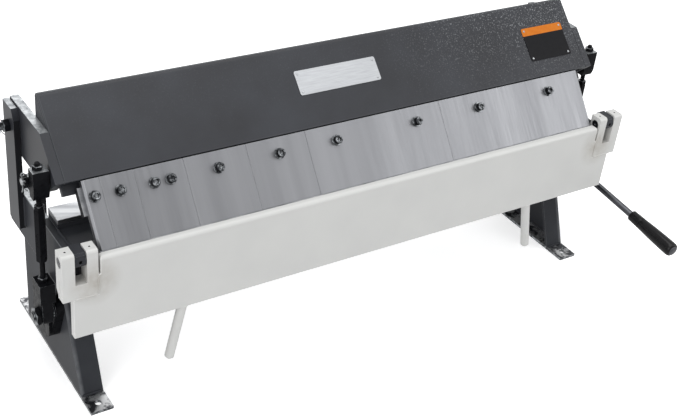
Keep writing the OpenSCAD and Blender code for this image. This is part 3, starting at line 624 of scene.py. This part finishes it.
def hex_nut(bm, flats, bore, start, end, place, axis, side):
    """A plain nut: a chamfered hexagon with a countersunk bore."""
    sink = 0.1 * bore
    sunk_bore = ((bore + sink, end), (bore, end - sink), (bore, start + sink), (bore + sink, start))
    turned(bm, hex_loops(flats, start, end) + circles(sunk_bore), place, axis, side, ring=True)


def thread(radius, start, end, pitch):
    """Loops of a screw thread: the radius dips once in each pitch and once in each turn."""
    depth = 0.55 * pitch
    rows = max(2, round(8 * abs(end - start) / pitch))
    loops = []
    for row in range(rows + 1):
        along = start + (end - start) * row / rows
        wave = [abs(2 * ((along / pitch - number / ROUND_STEPS) % 1) - 1) for number in range(ROUND_STEPS)]
        loops.append([(radius - depth * dip, along) for dip in wave])
    return loops


def tube(bm, points, radii, steps):
    """A round rod swept along points, given in metres, with a radius in millimetres at each."""
    rows = []
    side = None
    for number, point in enumerate(points):
        before = points[max(number - 1, 0)]
        after = points[min(number + 1, len(points) - 1)]
        along = (after - before).normalized()
        side = along.orthogonal() if side is None else side - along * side.dot(along)
        side.normalize()
        across = along.cross(side)
        row = []
        for step in range(steps):
            turn = 2 * math.pi * step / steps
            out = side * math.cos(turn) + across * math.sin(turn)
            row.append(bm.verts.new(point + out * radii[number] * MM))
        rows.append(row)
    bm.faces.new(rows[0])
    bm.faces.new(rows[-1])
    for low, high in zip(rows, rows[1:]):
        for step in range(steps):
            bm.faces.new((low[step - 1], low[step], high[step], high[step - 1]))


def weld_bead(bm, start, end, radius):
    """A hand-laid weld between two places: overlapping ripples 2.5 mm apart, a little uneven, that
    run out thin at both ends."""
    spacing, ripple_pitch, steps = 0.8, 2.5, 10
    chance = random.Random(round(1e4 * (start.x + 3 * start.y + 7 * start.z)))
    length = (end - start).length / MM
    count = max(6, round(length / spacing))
    points = []
    radii = []
    for number in range(count + 1):
        share = number / count
        ripple = abs(math.sin(math.pi * share * length / ripple_pitch))
        ends = min(1.0, 0.45 + 4 * min(share, 1 - share) * length / (6 * radius))
        points.append(start.lerp(end, share))
        radii.append(radius * ends * (0.86 + 0.16 * ripple + chance.uniform(-0.04, 0.04)))
    tube(bm, points, radii, steps)


def split_pin(bm, place, axis, spread, half_hole, radius):
    """A split pin: a round eye above its hole, a doubled shank, and two legs bent apart below. The
    leg on the spread's side is bent less, so that it stays within the machine's width."""
    wire = 0.58 * radius
    eye_radius = 1.75 * radius
    neck = half_hole + 0.4
    eye_start, eye_sweep, eye_steps, leg_steps = -70, 320, 16, 8
    eye = []
    for number in range(eye_steps + 1):
        turn = math.radians(eye_start + eye_sweep * number / eye_steps)
        eye.append(place + (axis * (neck + eye_radius + eye_radius * math.sin(turn))
                            + spread * eye_radius * math.cos(turn)) * MM)
    tube(bm, eye, [wire] * len(eye), WIRE_STEPS)
    for way, longer, bend_step in ((1, 1.0, 2.2), (-1, 1.2, 7)):
        leg = [place + (axis * (neck + 0.6) + spread * way * wire) * MM,
               place + (axis * -half_hole + spread * way * wire) * MM]
        for number in range(1, leg_steps + 1):
            bent = math.radians(bend_step * number)
            leg.append(leg[-1] + (axis * -math.cos(bent) + spread * way * math.sin(bent)) * longer * MM)
        tube(bm, leg, [wire] * len(leg), WIRE_STEPS)


# Sizes of a grinding stroke along each axis, in millimetres, and the turn of the fingers' strokes
bar_strokes = (14, 0.8, 0.8)
finger_strokes = (2, 90, 90)
up_fingers = (-FINGER_SLOPE, 0, 0)

# The finishes of this machine
beam_paint = hammered_enamel("hammered_enamel", "#28292d", "#323439", 0.42, 0.27, 0.85)
frame_paint = hammered_enamel("hammered_enamel_frame", "#2d2e32", "#393b3f", 0.5, 0.12, 0.1)
# The darkest paint is painted shade: it darkens front and rear faces of posts and arms, and the finger
# rail's ends
shaded_side_paint = hammered_enamel("hammered_enamel_painted_shade", "#17171a", "#1f2023", 0.55, 0.15, 0.1)
edge_paint = hammered_enamel("hammered_enamel_thin_edge", "#333539", "#434549", 0.42, 0.28, 0.5)
scuffed_paint = hammered_enamel("hammered_enamel_scuffed", "#505356", "#7b7e81", 0.4, 0.3, 0.2)
leg_front_paint = rubbed_corner(frame_paint, "hammered_enamel_leg_front", END_IN, 7.0)
# Bright tops: partly wear, partly painted light from above
worn_and_lit_paint = rubbed_and_lit_enamel()
bar_steel = ground_steel("ground_bar", "#76787b", "#b0b1b3", bar_strokes, (0, 0, math.radians(24)), 0.34)
finger_metal = ground_steel("ground_tool_steel", "#737477", "#808184", finger_strokes, up_fingers, 0.42)
finger_edge = ground_steel("ground_tool_steel_edge", "#7b7c7f", "#929396", finger_strokes, up_fingers, 0.4)
foot_metal = mill_steel()
black_metal = black_oxide()
# Rubbed grey on blackened pieces: partly wear, partly painted glints on nut tops, chamfers and threads
rubbed_steel_and_glint = rubbed_oxide_and_glint()
black_worn_and_glinting = [black_metal, rubbed_steel_and_glint]
bright_zinc = plated_metal("zinc_plate", "#7e8184", "#b9bbbd", 0.32)
dull_zinc = plated_metal("zinc_plate_dulled", "#3c3d40", "#5c5d61", 0.3)
apron_enamel = pale_enamel("pale_enamel", "#cbcbc9", 0.75)
apron_edge = pale_enamel("pale_enamel_thin_edge", "#e4e4e2", 0.2)
plate_metal = satin_aluminium()
label_metal = printed_aluminium()
grip_black = moulded_plastic()


# Plates and bars of the frame, rounded at their edges

def worn_lit_top_shaded_sides(normal, middle):
    """Tops are rubbed bright and painted lit, and front and rear faces take the darker paint of painted
    shade.
    """
    if normal.z > SQUARE_ON:
        return MARKED
    return SHADED_SIDE if abs(normal.y) > SQUARE_ON else FACES


def worn_and_lit_rear(normal, middle):
    """The end plates' tops are rubbed bright, partly a painted reflection, only behind the place where
    sheets go in.
    """
    return MARKED if normal.z > MOSTLY and middle.y > bend(0, RUBBED_AND_LIT_FROM, 0).y else FACES


def worn_and_lit_block_top(normal, middle):
    """Only the flat top of a swivel block is rubbed bright and painted lit."""
    return MARKED if normal.z > SQUARE_ON else FACES


def leg_front(normal, middle):
    """The legs' fronts take the paint that is rubbed at the outer corner."""
    return MARKED if normal.y < -HARDLY else FACES


def dark_ends(normal, middle):
    """The ends of the bar take the darker paint, as painted shade."""
    return EDGES if abs(normal.x) > SQUARE_ON else FACES


def dark_sides(normal, middle):
    """Sides that were cut, and not rolled, are dark."""
    return FACES if abs(normal.z) > MOSTLY else EDGES


def oil_hole(normal, middle):
    """The small oil holes down into the hinge ears are dark inside."""
    aside = min(abs(abs(middle.x) - x * MM) for x in EAR_MIDDLES)
    behind = abs(middle.y + HOLE_MID_Y * MM)
    return MARKED if abs(normal.z) < HARDLY and max(aside, behind) < OIL_HOLE_R * MM else FACES


def ground_top(normal, middle):
    """Grinding cleans the top of a bar and the top of its sides, and paint covers the rest."""
    return FACES if middle.z > (BEND_H - GROUND_DOWN) * MM else EDGES


def make_frame():
    paints = [frame_paint, scuffed_paint, worn_and_lit_paint, shaded_side_paint]
    for side in ("left", "right"):
        dress(side + "_end_plate", paints, PLATE_ROUND, EDGES, worn_and_lit_rear, (bend(0, RUBBED_AND_LIT_FROM, 0), BACK))
        dress(side + "_leg", [frame_paint, scuffed_paint, leg_front_paint], LEG_ROUND, EDGES, leg_front)
        dress(side + "_hinge_block", [frame_paint, worn_and_lit_paint], BAR_ROUND, EDGES)
    dress("rear_posts", [beam_paint, scuffed_paint, worn_and_lit_paint, shaded_side_paint], PLATE_ROUND, EDGES, worn_lit_top_shaded_sides)
    for plate in ("bed_deck", "bed_front_web", "bed_rear_web"):
        dress(plate, paints, PLATE_ROUND, EDGES)
    for bar in ("bed_nose_bar", "bed_rear_bar"):
        ground_line = (bend(0, 0, -GROUND_DOWN), UP)
        dress(bar, [bar_steel, frame_paint], BAR_ROUND, AS_FACES, ground_top, ground_line)
    dress("foot_plates", [foot_metal, rubbed_steel_and_glint], BAR_ROUND, AS_FACES, dark_sides)
    dress("shaft_hangers", black_worn_and_glinting, FITTING_ROUND, EDGES)


def make_beam():
    paints = [beam_paint, edge_paint, worn_and_lit_paint, shaded_side_paint]
    dress("clamp_beam", paints, FOLDED_ROUND, EDGES)
    dress("beam_end_caps", paints, PLATE_ROUND, EDGES)
    for side in ("left", "right"):
        dress(side + "_beam_arm", paints, PLATE_ROUND, EDGES, worn_lit_top_shaded_sides)
    dress("finger_flange", paints, BAR_ROUND, EDGES)
    dress("finger_rail", [bar_steel, shaded_side_paint], BAR_ROUND, AS_FACES, dark_ends)
    for name in ("1_inch", "2_inch", "3_inch", "4_inch_left", "4_inch_right", "10_inch", "12_inch"):
        dress("finger_" + name, [finger_metal, finger_edge], SHEET_ROUND, EDGES)
    dress("nameplate", [plate_metal], SHEET_ROUND)
    dress("label_plate", [label_metal], SHEET_ROUND)


def make_apron():
    dress("apron_plate", [apron_enamel, apron_edge], PLATE_ROUND, EDGES)
    for side in ("left", "right"):
        dress(side + "_hinge_lug", [apron_enamel, apron_edge, black_metal], PLATE_ROUND, EDGES, oil_hole)
    dress("apron_handles", [apron_enamel], FITTING_ROUND)


# Screws, pins and nuts. Their profiles list radius and distance along, in millimetres

def rub_and_light_ends(bm, axis):
    """Gives the ends and chamfers of fastenings the second material, as spanners and handling do.
    On them it is also a painted glint.
    """
    chamfer = 0.35
    bm.normal_update()
    for face in bm.faces:
        face.material_index = EDGES if abs(face.normal.dot(axis)) > chamfer else FACES


def make_finger_screws():
    """Socket head cap screws with a knurled head, a chamfered rim and a hexagonal socket, each on
    a flat washer. Each stands at a count of inches from the row's left end."""
    stands = (0.5, 2, 4, 5, 8, 12, 16, 22, 27, 33)
    inch = WORK_W / 36
    up_slope = 75
    steps = 72
    shank = ((3.4, -52), (4, -51.4), (4, 2), (6, 2))
    knurl_r, knurl_depth, knurl_ends = 6.4, 0.28, (2.5, 8.6)
    rim = ((6.25, 9), (5.5, 10), (4.4, 10))
    socket_flats = ((6.6, 9.5), (6.5, 6.2))
    drill_point = ((2.6, 5.6), (0.4, 4.9))
    washer = ((8.05, 0), (8.4, 0.35), (8.4, 1.65), (8.05, 2),
              (4.3, 2), (4.02, 1.7), (4.02, 0.3), (4.3, 0))
    knurl = [[(knurl_r - knurl_depth * (number % 2), along) for number in range(steps)]
             for along in knurl_ends]
    socket = [hexagon(flats, along, steps) for flats, along in socket_flats]
    loops = circles(shank, steps) + knurl + circles(rim, steps) + socket + circles(drill_point, steps)
    out = Vector((0, -math.sin(FINGER_SLOPE), math.cos(FINGER_SLOPE)))
    screws = bmesh.new()
    washers = bmesh.new()
    for stand in stands:
        place = on_fingers(inch * stand - WORK_W / 2, up_slope, 0)
        turned(screws, loops, place, out, ACROSS)
        turned(washers, circles(washer), place, out, ACROSS, ring=True)
    rub_and_light_ends(screws, out)
    finished("finger_screws", screws, black_worn_and_glinting, sharp=30)
    finished("finger_washers", washers, [rubbed_steel_and_glint])


def make_pivots():
    """Pivot bolts with a flanged hexagonal head inside the arm, and a nut and a split pin outside
    the post."""
    head_flats, head_ends, neck = 17.4, (469, 476), 475.4
    flange = ((10, 476.2), (16.2, 477), (16.8, 477.6), (16.8, 479), (16.3, 479.5))
    bolt_r, thread_start, thread_end, pitch = 6, 500, 517.3, 1.75
    bolt_tip = (4.9, 518)
    nut_bore, nut_h = 6.02, 9
    pin_x, pin_half_hole, pin_r = 515, 6.2, 1.2
    loops = hex_loops(head_flats, *head_ends)[:3] + [hexagon(head_flats, neck)] + circles(flange)
    loops += circles(((bolt_r, flange[-1][1]), (bolt_r, thread_start)))
    loops += thread(bolt_r, thread_start, thread_end, pitch) + [circle(*bolt_tip)]
    bolts = bmesh.new()
    nuts = bmesh.new()
    pins = bmesh.new()
    for side in BOTH_SIDES:
        out = ACROSS * side
        middle = bend(0, *PIVOT)
        turned(bolts, loops, middle, out, UP)
        hex_nut(nuts, head_flats, nut_bore, POST_OUT, POST_OUT + nut_h, middle, out, UP)
        split_pin(pins, middle + out * pin_x * MM, UP, out, pin_half_hole, pin_r)
    rub_and_light_ends(bolts, ACROSS)
    rub_and_light_ends(nuts, ACROSS)
    finished("pivot_bolts", bolts, black_worn_and_glinting, sharp=28)
    finished("pivot_nuts", nuts, black_worn_and_glinting, sharp=28)
    finished("pivot_split_pins", pins, [bright_zinc])


def make_swivels():
    """Shouldered swivel pins in the beam arms, each with a castle nut and a split pin."""
    inner_end = ((4.6, 480), (5, 480.4), (5, ARM_OUT))
    shoulder = ((9.6, ARM_OUT), (10, ARM_OUT + 0.4), (10, 494.6), (9.6, 495))
    shank = ((5, 495), (5, 518))
    thread_start, thread_end, pitch = 518.5, 526.3, 1.5
    tip = (4, 527)
    pin_x, pin_half_hole, pin_r = 523.9, 8.7, 1.3
    loops = circles(inner_end + shoulder + shank)
    loops += thread(shank[0][0], thread_start, thread_end, pitch) + [circle(*tip)]
    bolts = bmesh.new()
    pins = bmesh.new()
    for side in BOTH_SIDES:
        out = ACROSS * side
        middle = bend(0, *SWIVEL)
        turned(bolts, loops, middle, out, UP)
        split_pin(pins, middle + out * pin_x * MM, UP, out, pin_half_hole, pin_r)
    finished("swivel_pins", bolts, [bright_zinc], sharp=28)
    finished("swivel_split_pins", pins, [bright_zinc])
    dress("swivel_nuts", black_worn_and_glinting, NUT_ROUND, EDGES)


def make_links():
    """Link rods with their threads, the hexagonal sleeves and the lock nuts. The nut on a sleeve
    stands a hair clear of it, for the sleeve turns."""
    rod_r, pitch = 4, 1.25
    low_end, low_thread = ((3.4, 9), (rod_r, 9.6), (rod_r, 33)), (34, 49)
    plain, high_thread, high_end = ((rod_r, 50), (rod_r, 93)), (94, 103.9), (3.2, 104.5)
    loops = circles(low_end) + thread(rod_r, *low_thread, pitch) + circles(plain)
    loops += thread(rod_r, *high_thread, pitch) + [circle(*high_end)]
    sleeve_flats, low, high, lead = 14, -58.0, 29.0, 0.7
    sleeve_bore = ((4.8, high), (4.05, high - lead), (4.05, low + lead), (4.8, low))
    sleeve_loops = hex_loops(sleeve_flats, low, high) + circles(sleeve_bore)
    nut_flats, nut_bore, nut_h = 13, 4.02, 6.5
    nut_starts = (94.0, 29.05, -94.0)
    for side, name in zip(BOTH_SIDES, ("left", "right")):
        middle = bend(LINK_X * side, LINK_Y, 0)
        rod = bmesh.new()
        turned(rod, loops, middle, UP, ACROSS)
        finished(name + "_upper_rod", rod, [black_metal], sharp=28)
        sleeve = bmesh.new()
        turned(sleeve, sleeve_loops, middle, UP, ACROSS, ring=True)
        finished(name + "_turnbuckle", sleeve, [black_metal], sharp=28)
        nuts = bmesh.new()
        for start in nut_starts:
            hex_nut(nuts, nut_flats, nut_bore, start, start + nut_h, middle, UP, ACROSS)
        rub_and_light_ends(nuts, UP)
        finished(name + "_link_nuts", nuts, black_worn_and_glinting, sharp=28)
        dress(name + "_eye_rod", black_worn_and_glinting, FITTING_ROUND, EDGES)
        dress(name + "_swivel_block", black_worn_and_glinting + [worn_and_lit_paint], FITTING_ROUND, EDGES, worn_and_lit_block_top)


def make_shaft():
    """Cross shaft with a disc and an eccentric pin at each end, threaded where the nuts sit, and
    the lever's hub."""
    shaft_r, shaft_half = 12, 497
    disc = ((19.2, 496), (20, 496.8), (20, 498.7), (19.2, 499.5))
    pin_r, thread_start, thread_end, pitch = 8, 514.5, 526.0, 2.0
    plain = ((pin_r, 499), (pin_r, 514))
    left_end = ((7, 527),)
    right_end = ((pin_r, 526.5), (pin_r, 544.8), (7.4, 545.5))
    nut_flats, nut_bore, nut_start, nut_end = 26, 8.02, 516.5, 524
    shaft = bmesh.new()
    nuts = bmesh.new()
    middle = bend(0, *SHAFT)
    turned(shaft, circles(((shaft_r, -shaft_half), (shaft_r, shaft_half))), middle, ACROSS, UP)
    pin = bend(0, *PIN)
    for side, end in zip(BOTH_SIDES, (left_end, right_end)):
        out = ACROSS * side
        turned(shaft, circles(disc), middle, out, UP)
        loops = circles(plain) + thread(pin_r, thread_start, thread_end, pitch) + circles(end)
        turned(shaft, loops, pin, out, UP)
        hex_nut(nuts, nut_flats, nut_bore, nut_start, nut_end, pin, out, UP)
    rub_and_light_ends(shaft, ACROSS)
    rub_and_light_ends(nuts, ACROSS)
    finished("cross_shaft", shaft, black_worn_and_glinting, sharp=28)
    finished("eccentric_nuts", nuts, black_worn_and_glinting, sharp=28)
    dress("lever_hub", black_worn_and_glinting, FITTING_ROUND, EDGES)


def make_lever():
    """The lever: a plain rod, a moulded grip that swells to its end with a seam where its collar
    starts, and a domed metal cap."""
    along = Vector((0, -math.cos(LEVER_DROP), -math.sin(LEVER_DROP)))
    middle = bend(LEVER_X, *SHAFT)
    rod = bmesh.new()
    turned(rod, circles(((5.4, 14), (6, 14.6), (6, 276.4), (5.6, 277))), middle, along, ACROSS)
    finished("lever_rod", rod, [dull_zinc])

    grip_start = 171
    mouth = [(6.1, 0), (9.0, 0), (9.7, 0.4), (10, 1.2)]
    collar_steps, swell_steps = 8, 12
    collar = []
    for number in range(collar_steps + 1):
        share = number / collar_steps
        collar.append((10 + 0.72 * share, 1.8 + 22.6 * share))
    seam = [(10.6, 25.0), (9.95, 25.3), (9.95, 26.6), (10.7, 26.9)]
    swell = []
    for number in range(swell_steps + 1):
        share = number / swell_steps
        swell.append((10.8 + 2.2 * math.sin(share * math.pi / 2), 27.5 + 71 * share))
    round_end = [(12.9, 101), (12.5, 103.2), (11.8, 104.9), (10.9, 105.8), (9.4, 106), (6.1, 106)]
    profile = [(radius, start + grip_start) for radius, start in mouth + collar + seam + swell + round_end]
    grip = bmesh.new()
    turned(grip, circles(profile), middle, along, ACROSS, ring=True)
    finished("lever_grip", grip, [grip_black], sharp=40)

    cap_r, cap_start, dome_start, dome_h, dome_steps = 9, 277, 278, 2, 12
    dome = [(cap_r, cap_start), (cap_r, dome_start)]
    for number in range(1, dome_steps):
        turn = number / dome_steps * math.pi / 2
        dome.append((cap_r * math.cos(turn), dome_start + dome_h * math.sin(turn)))
    cap = bmesh.new()
    turned(cap, circles(dome), middle, along, ACROSS)
    finished("lever_cap", cap, [dull_zinc], sharp=60)


def make_hinges():
    """Hinge pins with a countersunk centre in each end, and the grub screws that hold them."""
    inner_end = ((0.6, 468.5), (2.2, 466), (7.3, 466), (8, 466.7))
    outer_end = ((8, 515.3), (7.3, 516), (2.2, 516), (0.6, 513.5))
    cup_point = ((2.6, 2.57), (3, 2.2), (3, 0.5), (2.5, 0), (1.9, 0))
    socket_flats, socket_ends, socket_floor = 3, (0.2, 1.4), (0.3, 1.7)
    grub_loops = circles(cup_point) + [hexagon(socket_flats, along) for along in socket_ends]
    grub_loops += [circle(*socket_floor)]
    pins = bmesh.new()
    screws = bmesh.new()
    for side in BOTH_SIDES:
        turned(pins, circles(inner_end + outer_end), bend(0, 0, 0), ACROSS * side, UP)
        turned(screws, grub_loops, bend(GRUB_X * side, GRUB_Y, 0), BACK, UP)
    finished("hinge_pins", pins, [dull_zinc], sharp=30)
    finished("hinge_grub_screws", screws, [black_metal], sharp=30)


def make_rivets():
    """Domed drive rivets at the corners of the two plates."""
    inset, foot_r, dome_r, dome_steps, steps = 5, 1.9, 2, 6, 24
    profile = [(foot_r, 0), (foot_r, 1)]
    for number in range(dome_steps):
        turn = number / dome_steps * math.pi / 2
        profile.append((dome_r * math.cos(turn), 1 + math.sin(turn)))
    rivets = bmesh.new()
    out = Vector((0, -math.sin(BEAM_SLOPE), math.cos(BEAM_SLOPE)))
    for left, right, low, high in (NAMEPLATE_AREA, LABEL_AREA):
        for x in (left + inset, right - inset):
            for up in (low + inset, high - inset):
                turned(rivets, circles(profile, steps), on_beam(x, up, 0), out, ACROSS)
    finished("plate_rivets", rivets, [bright_zinc], sharp=60)


def make_welds():
    """Hand-laid welds where the painted plates meet: start, end and radius of each, in millimetres
    from the bend line on the right side, and the same on the left."""
    plate_top, weld_z = -275, -274.6
    before_shaft, leg_slope = 16.5, 0.42
    leg_foot = SHAFT[0] - before_shaft - (SHAFT[1] - plate_top) * leg_slope
    leg_in, leg_out, leg_rear = LEG_IN + 2, END_IN - 2, 245
    web_end = END_IN - 35.5
    leg_beads = (
        ((leg_in, leg_foot, weld_z), (leg_out, leg_foot, weld_z), 2.6),
        ((leg_in, leg_rear, weld_z), (leg_out, leg_rear, weld_z), 2.6),
        ((END_IN - 6, leg_foot + 8, weld_z), (END_IN - 6, leg_rear - 8, weld_z), 2.6),
    )
    post_beads = (
        ((END_OUT, 197, -70), (END_OUT, 197, -17), 2.4),
        ((END_OUT, 239, -70), (END_OUT, 239, -17), 2.4),
        ((END_OUT, 200, -72), (END_OUT, 236, -72), 2.4),
    )
    bed_beads = (
        ((END_IN, 40, -15), (END_IN, 93, -15), 2.2),
        ((web_end, 30, -95), (web_end, 30, -29), 2.2),
        ((web_end, 132, -95), (web_end, 132, -29), 2.2),
    )
    arm_beads = (((ARM_IN, 168, 66), (ARM_IN, 168, 128), 2.2),)
    lug_beads = (
        ((465, -12, -60), (465, -12, -30), 1.2),
        ((517, 1, -60), (517, 1, -30), 1.2),
        ((467, -11.6, -60.6), (500, -11.6, -60.6), 1.4),
    )
    handle_x, handle_y, handle_top = 332.3, -4, -128.2
    ring_across, ring_back, ring_r, ring_steps = 7.8, 7.6, 1.5, 24
    frame_welds = bmesh.new()
    beam_welds = bmesh.new()
    apron_welds = bmesh.new()
    for side in BOTH_SIDES:
        for bm, beads in ((frame_welds, leg_beads + post_beads + bed_beads),
                          (beam_welds, arm_beads), (apron_welds, lug_beads)):
            for start, end, radius in beads:
                weld_bead(bm, bend(start[0] * side, *start[1:]), bend(end[0] * side, *end[1:]), radius)
        ring = []
        for number in range(ring_steps + 1):
            turn = 2 * math.pi * number / ring_steps
            ring.append(bend(handle_x * side + ring_across * math.cos(turn),
                             handle_y + ring_back * math.sin(turn), handle_top))
        tube(apron_welds, ring, [ring_r] * len(ring), WIRE_STEPS)
    new_piece("frame_welds", frame_welds, [frame_paint], "frame", sharp=60)
    new_piece("beam_welds", beam_welds, [beam_paint], "beam", sharp=60)
    new_piece("apron_welds", apron_welds, [apron_enamel], "apron", sharp=60)


make_frame()
make_beam()
make_apron()
make_finger_screws()
make_pivots()
make_swivels()
make_links()
make_shaft()
make_lever()
make_hinges()
make_rivets()
make_welds()
make_camera()
make_world()
make_floor()
make_lights()
bpy.context.scene.view_settings.view_transform = "Standard"
